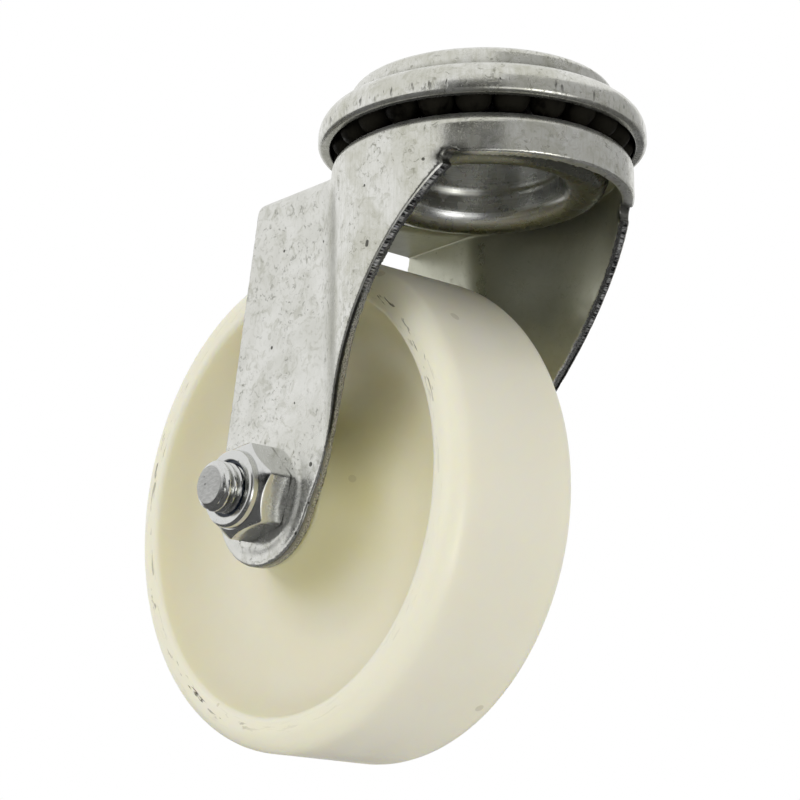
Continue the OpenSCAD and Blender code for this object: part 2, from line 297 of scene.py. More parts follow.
def swept(rings, axes, centre):
    """Points and faces of rings of (radius, height) at even turns: rings[j][i] is point i of turn j."""
    turns, count = len(rings), len(rings[0])
    angles = np.linspace(0, 2 * math.pi, turns, endpoint=False)
    points = []
    for a, ring in zip(angles, rings):
        ring = np.asarray(ring)
        local = np.stack([ring[:, 0] * math.cos(a), ring[:, 0] * math.sin(a), ring[:, 1]], axis=1)
        points.append(local @ axes + centre)
    faces = []
    for j in range(turns):
        k = (j + 1) % turns
        for i in range(count):
            n = (i + 1) % count
            faces.append((j * count + i, k * count + i, k * count + n, j * count + n))
    return np.concatenate(points), faces


def turned(outline, axes, centre, turns):
    """Solid of revolution of a closed outline that runs anticlockwise in radius and height."""
    points, faces = swept([outline] * turns, axes, centre)
    return points, [f[::-1] for f in faces]


def axle_point(y=0.0):
    """Point on the axle's line."""
    wheel, _ = sizes()
    return np.array((-wheel.trail, y, -wheel.axle_drop))


# Fork mesh: a skin round a field of distances, negative inside the steel

def ridge(a, b, r):
    """Distance to the part inside both faces, with the edge between them rounded by r."""
    return np.hypot(np.maximum(a + r, 0), np.maximum(b + r, 0)) + np.minimum(np.maximum(a, b), -r)


def valley(a, b, r):
    """Distance to two joined parts, with the valley between them filled to radius r."""
    return -ridge(-a, -b, r)


def polygon_distance(corners, x, z):
    """Distance to a polygon's outline, negative inside it."""
    best, inside = None, None
    for (ax, az), (bx, bz) in zip(corners, corners[1:] + corners[:1]):
        ex, ez = bx - ax, bz - az
        wx, wz = x - ax, z - az
        t = np.clip((wx * ex + wz * ez) / (ex * ex + ez * ez), 0, 1)
        d = (wx - ex * t) ** 2 + (wz - ez * t) ** 2
        best = d if best is None else np.minimum(best, d)
        crosses = ((az <= z) & (bz > z) & (ex * wz < ez * wx)) | ((az > z) & (bz <= z) & (ex * wz > ez * wx))
        inside = crosses if inside is None else inside ^ crosses
    return np.where(inside, -1, 1) * np.sqrt(best)


def touch(p, centre, r, turn):
    """Point where the straight line from p touches a circle."""
    d = centre - p
    reach = np.linalg.norm(d)
    away = math.atan2(d[1], d[0]) + turn * math.asin(r / reach)
    return p + math.sqrt(reach * reach - r * r) * np.array((math.cos(away), math.sin(away)))


def leg_outline():
    """Corners of the legs in side view, from the rear round the top to the axle."""
    wheel, head = sizes()
    axle = np.array((-wheel.trail, -wheel.axle_drop))
    front = np.array((head.leg_front, -head.skirt_drop - head.notch_r))
    rear = np.array((-head.rear_reach, -head.roof_drop))
    foot = touch(front, axle, head.leg_end_r, 1)
    along = foot - front
    aside = np.array((along[1], -along[0])) / np.linalg.norm(along)
    edge = [front + s * along + 4 * s * (1 - s) * head.front_bow * aside for s in np.linspace(0, 1, 15)]
    heel = touch(rear, axle, head.leg_end_r, -1)
    return [heel, rear, np.array((rear[0], MM)), np.array((front[0], MM))] + edge


def fork_outline(x, z):
    """Distance in side view to the edge that the fork was punched to."""
    wheel, head = sizes()
    to_axle = np.hypot(x + wheel.trail, z + wheel.axle_drop)
    legs = np.minimum(polygon_distance(leg_outline(), x, z), to_axle - head.leg_end_r)
    skirt = np.maximum(-head.skirt_drop - z, -head.rear_reach - x)
    notch_x, notch_z = head.leg_front + 0.6 * head.notch_r, -head.skirt_drop - 0.5 * head.notch_r
    notch = head.notch_r - np.hypot(x - notch_x, z - notch_z)
    return np.maximum(np.maximum(np.minimum(legs, skirt), notch), head.axle_hole_r - to_axle)


def fork_faces(x, y, z):
    """Distance to the outer face of the fork's sheet."""
    _, head = sizes()
    out = np.hypot(x, y)
    crown = ridge(out - head.crown_r, z - head.crown_top, head.dome_r)
    bead = np.hypot(out - head.bead_mid, z - head.bead_z) - head.bead_r
    bead_fillet, sharpest = 0.6 * MM, 0.4 * MM
    crown = valley(crown, bead, bead_fillet)
    channel = ridge(np.abs(y) - head.panel_out, z + head.roof_drop, head.roof_bend_r)
    # The bend tightens towards the roof, so that the crown stays clear of the balls above it
    bend = np.clip(-head.roof_drop - z, sharpest, head.crease_r)
    return valley(crown, np.maximum(channel, x), bend)


def fork_field(x, y, z):
    """Distance to the fork's steel."""
    wheel, head = sizes()
    outer, edge = fork_faces(x, y, z), fork_outline(x, z)
    steel = np.maximum(ridge(outer, edge, head.edge_roll), ridge(-outer - head.fork_t, edge, head.edge_burr))
    steel = ridge(steel, head.crown_hole_r - np.hypot(x, y), head.edge_burr)
    to_axle = np.hypot(x + wheel.trail, z + wheel.axle_drop)
    lift = np.clip((head.pad_r + head.pad_ramp - to_axle) / (2 * head.pad_ramp), 0, 1)
    pad = np.abs(y) - head.panel_out - (head.pad_face - head.panel_out) * lift * lift * (3 - 2 * lift)
    pad = np.maximum(np.maximum(pad, to_axle - head.pad_r - head.pad_ramp), head.axle_hole_r - to_axle)
    return np.minimum(steel, np.maximum(pad, head.panel_out - MM - np.abs(y)))


def gradient(field, p, eps):
    """Slope of the field at each point."""
    steps = np.eye(3) * eps
    return np.stack([(field(*(p + d).T) - field(*(p - d).T)) / (2 * eps) for d in steps], axis=1)


def skin(field, low, high, step):
    """Closed skin of squares where the field is zero, as points, faces and normals."""
    axes = [np.arange(a, b + step, step) for a, b in zip(low, high)]
    v = field(axes[0][:, None, None], axes[1][None, :, None], axes[2][None, None, :])
    shape = np.array(v.shape)
    keys, places, quads = [], [], []
    for axis in range(3):
        a = np.take(v, range(shape[axis] - 1), axis)
        b = np.take(v, range(1, shape[axis]), axis)
        at = np.stack(np.nonzero((a < 0) != (b < 0)), axis=1)
        va, vb = a[tuple(at.T)], b[tuple(at.T)]
        place = at.astype(float)
        place[:, axis] += va / (va - vb)
        u, w = (axis + 1) % 3, (axis + 2) % 3
        quad = []
        for du, dw in ((0, 0), (1, 0), (1, 1), (0, 1)):
            cell = at.copy()
            cell[:, u] -= du
            cell[:, w] -= dw
            quad.append(np.ravel_multi_index(cell.T, shape))
            keys.append(quad[-1])
            places.append(place)
        quad = np.stack(quad, axis=1)
        quad[va > 0] = quad[va > 0][:, ::-1]
        quads.append(quad)
    cells, index = np.unique(np.concatenate(keys), return_inverse=True)
    places = np.concatenate(places)
    count = np.bincount(index)
    middle = np.stack([np.bincount(index, places[:, k]) / count for k in range(3)], axis=1)
    points = middle * step + np.array(low)
    faces = np.searchsorted(cells, np.concatenate(quads))
    rounds, eased_rounds = 6, 4
    for settle in range(rounds):
        if settle < eased_rounds:
            points = eased(points, faces)
        for _ in range(2):
            slope = gradient(field, points, 0.02 * step)
            move = field(*points.T)[:, None] * slope / np.maximum((slope ** 2).sum(1), 0.2)[:, None]
            far = np.linalg.norm(move, axis=1)[:, None]
            points = points - move * np.minimum(1, step / np.maximum(far, 1e-12))
    normals = gradient(field, points, 0.05 * step)
    return points, faces, normals / np.linalg.norm(normals, axis=1)[:, None]


def eased(points, faces):
    """Each point moved half way to the middle of its neighbours."""
    total, count = np.zeros_like(points), np.zeros(len(points))
    for k in range(4):
        a, b = faces[:, k], faces[:, (k + 1) % 4]
        for p, q in ((a, b), (b, a)):
            for axis in range(3):
                total[:, axis] += np.bincount(p, points[q, axis], len(points))
            count += np.bincount(p, minlength=len(points))
    return 0.5 * points + 0.5 * total / count[:, None]


def paint(piece, name, values):
    """Stores one number for each point of a mesh, for a material to read."""
    layer = piece.data.attributes.new(name, "FLOAT", "POINT")
    layer.data.foreach_set("value", np.asarray(values, np.float32))


# Shader nodes

def plug(tree, socket, value):
    """Links a socket to an input, or sets the input's own value."""
    if isinstance(value, bpy.types.NodeSocket):
        tree.links.new(value, socket)
    else:
        socket.default_value = value


def put(tree, kind, settings=None, **inputs):
    """Adds a node; an input goes by its name, with _ for a space, or by i and its place."""
    node = tree.nodes.new(kind)
    for key, value in (settings or {}).items():
        setattr(node, key, value)
    for key, value in inputs.items():
        by_place = key[0] == "i" and key[1:].isdigit()
        plug(tree, node.inputs[int(key[1:]) if by_place else key.replace("_", " ")], value)
    return node


def calc(tree, operation, a, b=0.0):
    """One step of arithmetic."""
    return put(tree, "ShaderNodeMath", {"operation": operation}, i0=a, i1=b).outputs[0]


def times(tree, product, *factors):
    """Product of two or more values."""
    for factor in factors:
        product = calc(tree, "MULTIPLY", product, factor)
    return product


def fade(tree, value, low, high, out_low=0.0, out_high=1.0):
    """Smooth step of a value from one range to another."""
    return put(tree, "ShaderNodeMapRange", {"interpolation_type": "SMOOTHSTEP"}, Value=value, From_Min=low,
               From_Max=high, To_Min=out_low, To_Max=out_high).outputs[0]


def blend(tree, share, a, b):
    """Colour between a and b."""
    a, b = [(*c, 1) if isinstance(c, tuple) else c for c in (a, b)]
    return put(tree, "ShaderNodeMix", {"data_type": "RGBA"}, i0=share, i6=a, i7=b).outputs[2]


def tinted(tree, look, mask, share, tint):
    """The look with a share of the tint where the mask is."""
    return blend(tree, times(tree, mask, share), look, tint)


def noise(tree, place, scale, detail=4.0, rough=0.55, distort=0.0):
    """Cloudy noise from 0 to 1."""
    return put(tree, "ShaderNodeTexNoise", Vector=place, Scale=scale, Detail=detail, Roughness=rough,
               Distortion=distort).outputs[0]


def stretched(tree, place, scale, turn=(0, 0, 0)):
    """The place scaled along each axis, after a turn."""
    return put(tree, "ShaderNodeMapping", Vector=place, Scale=scale, Rotation=turn).outputs[0]


def node_group(name, value, default, fill):
    """Shader group, made once, with a place and a value as inputs and what fill makes as outputs."""
    if name not in bpy.data.node_groups:
        tree = bpy.data.node_groups.new(name, "ShaderNodeTree")
        sockets = tree.interface
        sockets.new_socket("Vector", in_out="INPUT", socket_type="NodeSocketVector")
        sockets.new_socket(value, in_out="INPUT", socket_type="NodeSocketFloat").default_value = default
        made = fill(tree, tree.nodes.new("NodeGroupInput").outputs)
        for label in made:
            sockets.new_socket(label, in_out="OUTPUT", socket_type="NodeSocketFloat")
        out = tree.nodes.new("NodeGroupOutput")
        for label, socket in made.items():
            tree.links.new(socket, out.inputs[label])
    return bpy.data.node_groups[name]


def use(tree, group, **inputs):
    """Places a group and gives its outputs."""
    return put(tree, "ShaderNodeGroup", {"node_tree": group}, **inputs).outputs


def stain_group():
    """Cloudy stains, rubbed speckle and small pits of old plating."""
    def fill(tree, given):
        place = given["Vector"]
        scale = calc(tree, "DIVIDE", 1.0, given["Size"])
        cloud = fade(tree, noise(tree, place, scale, 5, 0.6, 0.6), 0.36, 0.66)
        fine = noise(tree, place, times(tree, scale, 9.0), 7, 0.72, 0.8)
        blotch = fade(tree, noise(tree, place, times(tree, scale, 4.2), 6, 0.66, 1.2), 0.47, 0.68)
        patch = fade(tree, noise(tree, place, times(tree, scale, 1.7), 3), 0.40, 0.60)
        speck = times(tree, fade(tree, fine, 0.53, 0.66), patch)
        cells = put(tree, "ShaderNodeTexVoronoi", {"feature": "F1"}, Vector=place,
                    Scale=times(tree, scale, 2.6)).outputs
        lucky = put(tree, "ShaderNodeSeparateColor", Color=cells["Color"]).outputs[0]
        past_pit = calc(tree, "SUBTRACT", cells["Distance"], fade(tree, lucky, 0.45, 1.0, 0.0, 0.11))
        pit = calc(tree, "SUBTRACT", 1.0, fade(tree, past_pit, -0.01, 0.02))
        pit = times(tree, pit, fade(tree, lucky, 0.42, 0.55))
        return {"Cloud": cloud, "Blotch": blotch, "Speckle": speck, "Pits": pit}
    return node_group("Plating stains", "Size", 0.012, fill)


def scratch_group():
    """Thin scratches in three directions."""
    def fill(tree, given):
        place, total = given["Vector"], None
        for turn, scale in (((0.3, 0.5, 0.2), (1400, 60, 1400)), ((1.2, 0.1, 0.9), (60, 1500, 1500)),
                            ((0.2, 1.1, 1.7), (1300, 1300, 45))):
            line = fade(tree, noise(tree, stretched(tree, place, scale, turn), 1.0, 2, 0.5), 0.66, 0.74)
            total = line if total is None else calc(tree, "MAXIMUM", total, line)
        where = fade(tree, noise(tree, place, 90.0, 2), 0.5, 0.7)
        return {"Scratch": times(tree, total, where, given["Amount"])}
    return node_group("Fine scratches", "Amount", 1.0, fill)


def drawn_group():
    """Marks on a wall drawn round the swivel axis: upright streaks, short nicks and level lines."""
    def fill(tree, given):
        split = put(tree, "ShaderNodeSeparateXYZ", Vector=given["Vector"]).outputs
        around = times(tree, calc(tree, "ARCTAN2", split[1], split[0]), given["Radius"])
        flat = put(tree, "ShaderNodeCombineXYZ", X=around, Z=split[2]).outputs[0]
        streak = fade(tree, noise(tree, stretched(tree, flat, (1500, 1, 210)), 1.0, 5, 0.62), 0.42, 0.68)
        nick = fade(tree, noise(tree, stretched(tree, flat, (950, 1, 330)), 1.0, 2, 0.5), 0.58, 0.66)
        line = fade(tree, noise(tree, stretched(tree, flat, (22, 1, 2300)), 1.0, 4, 0.62), 0.38, 0.66)
        return {"Streak": streak, "Nick": nick, "Line": line}
    return node_group("Drawn wall marks", "Radius", 0.03, fill)


def grain_group():
    """Fine uneven grain for bump and roughness."""
    def fill(tree, given):
        scale = calc(tree, "DIVIDE", 1.0, given["Size"])
        fine = noise(tree, given["Vector"], scale, 4, 0.6)
        broad = noise(tree, given["Vector"], times(tree, scale, 0.12), 3, 0.5)
        return {"Fine": fine, "Broad": broad}
    return node_group("Surface grain", "Size", 0.0005, fill)


def new_material(name):
    """Material with an empty tree, its surface shader and the place on the surface."""
    material = bpy.data.materials.new(name)
    material.use_nodes = True
    tree = material.node_tree
    tree.nodes.clear()
    shader = tree.nodes.new("ShaderNodeBsdfPrincipled")
    out = tree.nodes.new("ShaderNodeOutputMaterial")
    tree.links.new(shader.outputs[0], out.inputs[0])
    place = tree.nodes.new("ShaderNodeTexCoord").outputs["Object"]
    return material, tree, shader, place


def painted(tree, name):
    """What paint() stored on the mesh under this name, or 0."""
    settings = {"attribute_name": name, "attribute_type": "GEOMETRY"}
    return put(tree, "ShaderNodeAttribute", settings).outputs["Fac"]


def surface(tree, shader, look, rough, height, depth, strength):
    """Gives the shader its colour, its roughness and a bump of this depth in metres."""
    tree.links.new(look, shader.inputs["Base Color"])
    tree.links.new(rough, shader.inputs["Roughness"])
    bump = put(tree, "ShaderNodeBump", Strength=strength, Distance=depth, Height=height)
    tree.links.new(bump.outputs[0], shader.inputs["Normal"])


def colours(*names):
    """Colours of the finishes by name."""
    finish = bpy.context.scene.castor_finish
    return [tuple(getattr(finish, name)) for name in names]


def zinc_material(name, sheared=False):
    """Zinc plating with stains, pits, scratches and grease, and painted shade in hollows and on inner faces.
    """
    zinc, stain, inside, grease_and_shade = colours("zinc", "zinc_stain", "inside", "grease_and_shade")
    material, tree, shader, place = new_material(name)
    stains = use(tree, stain_group(), Vector=place, Size=0.011)
    grain = use(tree, grain_group(), Vector=place, Size=0.00045)
    marks = use(tree, drawn_group(), Vector=place, Radius=0.031)
    scratch = use(tree, scratch_group(), Vector=place, Amount=0.6)["Scratch"]
    drawn = painted(tree, "drawn")
    look = tinted(tree, zinc, stains["Cloud"], 0.22, stain)
    look = tinted(tree, look, stains["Blotch"], 0.42, stain)
    look = tinted(tree, look, stains["Speckle"], 0.75, tuple(0.5 * c for c in stain))
    look = tinted(tree, look, times(tree, stains["Cloud"], drawn), 0.3, (0.42, 0.41, 0.30))
    look = tinted(tree, look, times(tree, marks["Streak"], drawn), 0.22, stain)
    look = tinted(tree, look, scratch, 0.35, (0.85, 0.85, 0.83))
    nick = times(tree, marks["Nick"], painted(tree, "nicked"))
    hollow = calc(tree, "MAXIMUM", stains["Pits"], nick)
    look = tinted(tree, look, hollow, 0.9, (0.05, 0.05, 0.04))
    rough = fade(tree, grain["Broad"], 0.3, 0.7, 0.28, 0.38)
    rough = calc(tree, "ADD", rough, times(tree, stains["Speckle"], 0.14))
    smooth = calc(tree, "MAXIMUM", drawn, painted(tree, "rubbed"))
    rough = calc(tree, "SUBTRACT", rough, times(tree, smooth, 0.10))
    sunk = calc(tree, "ADD", hollow, times(tree, stains["Speckle"], 0.25))
    height = calc(tree, "SUBTRACT", times(tree, grain["Fine"], 0.25), sunk)
    if sheared:
        through = painted(tree, "through")
        # Painted shade: the inner faces darker and olive, for the dark inside of the channel
        inner = fade(tree, through, 0.93, 0.985)
        look = tinted(tree, look, inner, 0.82, inside)
        cut = times(tree, fade(tree, through, 0.10, 0.20), calc(tree, "SUBTRACT", 1.0, inner))
        cut = times(tree, cut, painted(tree, "sheared"))
        steel, relief = cut_steel(tree, place, through)
        look = blend(tree, cut, look, steel)
        rough = calc(tree, "ADD", rough, times(tree, cut, 0.05))
        height = calc(tree, "ADD", height, times(tree, cut, *relief))
    # Painted shade: near black where the painted shade attribute is set
    dirt_and_shade = times(tree, painted(tree, "grime"), fade(tree, stains["Blotch"], 0, 1, 0.8, 0.97))
    look = blend(tree, dirt_and_shade, look, (0.05, 0.05, 0.038))
    # Grease and painted shade: near black in the bearing, on the crown's top and inside the top cup
    look = tinted(tree, look, painted(tree, "greasy"), 0.97, grease_and_shade)
    shader.inputs["Metallic"].default_value = 0.9
    surface(tree, shader, look, rough, height, 0.00008, 0.6)
    return material


def cut_steel(tree, place, through):
    """Colour of the fork's cut edge and its relief: burnished teeth outside, torn steel inside."""
    bare, = colours("sheared")
    along_edge = (0.6, 0.0, 0.8)
    run = put(tree, "ShaderNodeVectorMath", {"operation": "DOT_PRODUCT"}, i0=place, i1=along_edge).outputs[1]
    run, across = times(tree, run, 2300.0), times(tree, through, 0.8)
    line = put(tree, "ShaderNodeCombineXYZ", X=run, Y=across).outputs[0]
    teeth = noise(tree, line, 1.0, 5, 0.75, 0.6)
    torn = noise(tree, place, 3600.0, 3, 0.7)
    burnish = blend(tree, fade(tree, teeth, 0.46, 0.6), (0.025, 0.025, 0.025), (0.82, 0.82, 0.81))
    tear = blend(tree, fade(tree, torn, 0.4, 0.62), (0.06, 0.06, 0.058), bare)
    torn_from = calc(tree, "ADD", through, times(tree, torn, 0.25))
    steel = blend(tree, fade(tree, torn_from, 0.6, 0.8), burnish, tear)
    coarse = blend(tree, fade(tree, torn, 0.35, 0.62), (0.10, 0.10, 0.095), (0.46, 0.46, 0.45))
    run_up = painted(tree, "edge_run")
    black = blend(tree, fade(tree, run_up, 0.05, 0.4), (0.22, 0.22, 0.215), (0.02, 0.02, 0.019))
    coarse_from = calc(tree, "ADD", through, times(tree, torn, 0.3))
    plain = blend(tree, fade(tree, coarse_from, 0.52, 0.72), black, coarse)
    toothed = fade(tree, run_up, 0.6, 0.95)
    steel = blend(tree, toothed, plain, steel)
    rim = calc(tree, "SUBTRACT", 1.0, fade(tree, through, 0.16, 0.28))
    steel = tinted(tree, steel, rim, 0.75, (0.05, 0.05, 0.048))
    return steel, (teeth, fade(tree, toothed, 0, 1, 0.4, 1.6))


def bright_material(name, rough_low, rough_high, lined=0.0):
    """Bright steel, with level drawing lines where it is lined."""
    bright, olive_shade = colours("bright", "olive_shade")
    material, tree, shader, place = new_material(name)
    stains = use(tree, stain_group(), Vector=place, Size=0.006)
    grain = use(tree, grain_group(), Vector=place, Size=0.0004)
    scratch = use(tree, scratch_group(), Vector=place, Amount=0.7)["Scratch"]
    marks = use(tree, drawn_group(), Vector=place, Radius=0.016)
    look = tinted(tree, bright, stains["Speckle"], 0.3, (0.4, 0.39, 0.33))
    look = tinted(tree, look, marks["Line"], 0.35 * lined, (0.3, 0.3, 0.25))
    # Painted shade in olive: under the lower cup's ring, along its draw step and in the bolt's thread
    look = tinted(tree, look, painted(tree, "grime"), 0.95, olive_shade)
    dull = painted(tree, "dull")
    brush = noise(tree, stretched(tree, place, (900, 900, 3200), (0, 0.5, 0)), 1.0, 4, 0.65)
    look = tinted(tree, look, dull, fade(tree, brush, 0.36, 0.64, 0.4, 0.7), (0.30, 0.30, 0.29))
    look = tinted(tree, look, stains["Pits"], 0.6, (0.08, 0.08, 0.07))
    look = tinted(tree, look, scratch, 0.3, (0.9, 0.9, 0.89))
    rough = calc(tree, "ADD", fade(tree, grain["Broad"], 0.3, 0.7, rough_low, rough_high),
                 times(tree, calc(tree, "ADD", stains["Speckle"], scratch), 0.12))
    rough = calc(tree, "ADD", rough, times(tree, dull, 0.2))
    height = calc(tree, "SUBTRACT", times(tree, grain["Fine"], 0.15), stains["Pits"])
    height = calc(tree, "ADD", height, times(tree, marks["Line"], 0.4 * lined))
    shader.inputs["Metallic"].default_value = 1.0
    surface(tree, shader, look, rough, height, 0.00005, 0.5)
    return material


def ball_material():
    """Steel under a film of grease, near black as painted shade for the bearing's gap."""
    ball, grease_and_shade = colours("ball", "grease_and_shade")
    material, tree, shader, place = new_material("Greasy ball steel")
    stains = use(tree, stain_group(), Vector=place, Size=0.004)
    grain = use(tree, grain_group(), Vector=place, Size=0.0006)
    film = calc(tree, "MAXIMUM", stains["Cloud"], fade(tree, grain["Broad"], 0.3, 0.5))
    tree.links.new(fade(tree, film, 0, 1, 1.0, 0.1), shader.inputs["Metallic"])
    shader.inputs["Specular IOR Level"].default_value = 0.02
    rough = fade(tree, film, 0, 1, 0.35, 0.65)
    surface(tree, shader, blend(tree, film, ball, grease_and_shade), rough, grain["Broad"], 0.00006, 0.4)
    return material


def nylon_material():
    """Cream nylon with stains and rim scuffs, and yellowing and painted shade in the dish."""
    nylon, stain, scuff_dirt = colours("nylon", "nylon_stain_and_shade", "scuff")
    wheel, _ = sizes()
    material, tree, shader, place = new_material("Cream nylon")
    grain = use(tree, grain_group(), Vector=place, Size=0.0011)
    stains = use(tree, stain_group(), Vector=place, Size=0.03)
    split = put(tree, "ShaderNodeSeparateXYZ", Vector=place).outputs
    x, z = calc(tree, "ADD", split[0], wheel.trail), calc(tree, "ADD", split[2], wheel.axle_drop)
    around = times(tree, calc(tree, "ARCTAN2", z, x), 0.045)
    out = calc(tree, "POWER", calc(tree, "ADD", times(tree, x, x), times(tree, z, z)), 0.5)
    polar = put(tree, "ShaderNodeCombineXYZ", X=around, Y=out, Z=split[1]).outputs[0]
    dash = fade(tree, noise(tree, stretched(tree, polar, (210, 1500, 1500)), 1.0, 3, 0.55, 0.5), 0.58, 0.64)
    scuff = times(tree, dash, painted(tree, "scuffed"))
    patchy = fade(tree, noise(tree, place, 120.0, 4), 0.35, 0.65, 0.75, 1.0)
    look = tinted(tree, nylon, stains["Cloud"], 0.10, stain)
    # Yellowing and painted shade in the dish
    look = tinted(tree, look, painted(tree, "yellowed"), patchy, stain)
    # Painted shade: darker nylon round the hub
    look = blend(tree, painted(tree, "greasy"), look, tuple(0.6 * c for c in stain))
    look = tinted(tree, look, fade(tree, stains["Pits"], 0.85, 1.0), 0.3, (0.35, 0.3, 0.2))
    look = blend(tree, scuff, look, scuff_dirt)
    rough = calc(tree, "ADD", fade(tree, grain["Broad"], 0.3, 0.7, 0.30, 0.42), times(tree, scuff, 0.3))
    height = calc(tree, "SUBTRACT", times(tree, grain["Broad"], 0.6), times(tree, scuff, 0.5))
    for socket, value in (("IOR", 1.53), ("Subsurface Weight", 0.7), ("Subsurface Radius", (1.0, 0.85, 0.35)),
                          ("Subsurface Scale", 0.008)):
        shader.inputs[socket].default_value = value
    surface(tree, shader, look, rough, height, 0.00012, 0.5)
    return material


def ring_material():
    """Blue nylon of the nut's ring."""
    blue, = colours("blue")
    material, tree, shader, place = new_material("Blue nylon ring")
    grain = use(tree, grain_group(), Vector=place, Size=0.0006)
    look = blend(tree, fade(tree, grain["Broad"], 0.35, 0.65), blue, tuple(c * 0.55 for c in blue))
    rough = fade(tree, grain["Fine"], 0.3, 0.7, 0.3, 0.45)
    surface(tree, shader, look, rough, grain["Fine"], 0.00005, 0.4)
    return material


def finish_for(name):
    """The castor's materials, each made once."""
    if name not in bpy.data.materials:
        {"Satin zinc": lambda: zinc_material(name),
         "Satin zinc, sheared": lambda: zinc_material(name, sheared=True),
         "Bright steel": lambda: bright_material(name, 0.15, 0.27),
         "Polished cup steel": lambda: bright_material(name, 0.22, 0.32, lined=1.0),
         "Greasy ball steel": ball_material,
         "Cream nylon": nylon_material,
         "Blue nylon ring": ring_material}[name]()
    return bpy.data.materials[name]


def dress(node, material):
    """Gives a CAD node its finish."""
    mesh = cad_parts[node].data
    mesh.materials.clear()
    mesh.materials.append(finish_for(material))


# Pieces

# Fineness of the meshes: faces round the larger pieces, and longest sides in the sections, in metres
ROUND_FACES = 288
WHEEL_STEP, CUP_STEP, RIVET_STEP = 0.0013, 0.0012, 0.001

# Scuffs along the wheel's rims: place round the axle and reach in degrees, and strength
SCUFFS = ((-166, 9, 1.4), (-132, 11, 1.5), (-112, 6, 1), (27, 9, 1.2), (47, 7, 1.4), (155, 14, 1.0))

# Marks on the fork, as x, z and reach in millimetres: a painted shadow beside the nut, a rubbed patch, and
# the painted shade along the crease
NUT_SHADOW_PATCH = (-30.5, -80.5, 4.6)
RUBBED_PATCH = (-34, -76, 17)
CREASE_X, CREASE_REACH = -15.2, 2.6

# How far the teeth of the cut edge show at these levels, in millimetres
EDGE_LEVELS, EDGE_TEETH = (-74, -66, -50, -40), (0, 0.5, 0.5, 1)

SHOULDER_LEAN = math.radians(55)  # slope of the lower cup's wall where it meets its ring
HEX_CHAMFER = math.radians(41)    # slope of the chamfer on nut and bolt head
HEX_FACE_IN = 0.6 * MM            # how far inside the flats that chamfer ends


def spot(x, z, place):
    """Distance from a mark on the fork in side view, as a share of its reach."""
    at_x, at_z, reach = place
    return np.hypot(x - at_x * MM, z - at_z * MM) / (reach * MM)


class CastorWheelOperator(bpy.types.Operator):
    """Build the dished nylon wheel with its scuffed rims"""
    bl_idname = "castor.wheel"
    bl_label = "Wheel"

    def execute(self, context):
        w, _ = sizes()
        rise = w.hub_half - w.wheel_half
        end = math.asin(rise / w.dish_r)
        side = [(w.bore_r, w.hub_half, 0.3 * MM), (w.hub_r, w.hub_half, 0.8 * MM)]
        side += arc(w.dish_mid, w.hub_half, w.dish_r, math.pi + 0.06, 2 * math.pi - end, 40)[:-1]
        lip = w.dish_mid + w.dish_r * math.cos(end)
        side += [(lip, w.wheel_half, w.lip_r), (w.wheel_r, w.wheel_half, w.tread_corner_r)]
        other = [(r, -h, c) for r, h, c in reversed(side)]
        outline = spaced(rounded(side + other, 8), WHEEL_STEP)
        points, faces = turned(outline[::-1], TO_NUT, axle_point(), ROUND_FACES)
        piece = new_piece("wheel_moulding", points, faces, "wheel", "Cream nylon", ["wheel"])
        x, y, z = (points - axle_point()).T
        out, turn = np.hypot(x, z), np.degrees(np.arctan2(z, x))
        rim = np.exp(-((out - lip - 2.2 * MM) / (0.8 * MM)) ** 2) * (np.abs(y) > 0.9 * w.wheel_half)
        dirt_and_shade = 0.12 + sum(np.exp(-(((turn - at + 180) % 360 - 180) / reach) ** 2) * strength
                          for at, reach, strength in SCUFFS)
        paint(piece, "scuffed", np.clip(rim * dirt_and_shade, 0, 1))
        # Yellowing and painted shade: yellower deeper in the dish, towards the fork and round the hub
        sunk = np.clip((w.wheel_half - np.abs(y)) / (6 * MM), 0, 1) * (out < lip)
        hub = np.exp(-((out - w.hub_r) / (5 * MM)) ** 2)
        shade_by_turn = 0.42 + 0.27 * np.cos(np.radians(turn - 60))
        paint(piece, "yellowed", np.clip(sunk * shade_by_turn + 0.7 * hub, 0, 1))
        # Painted shade: darker round the hub
        paint(piece, "greasy", 0.6 * hub)
        return {"FINISHED"}


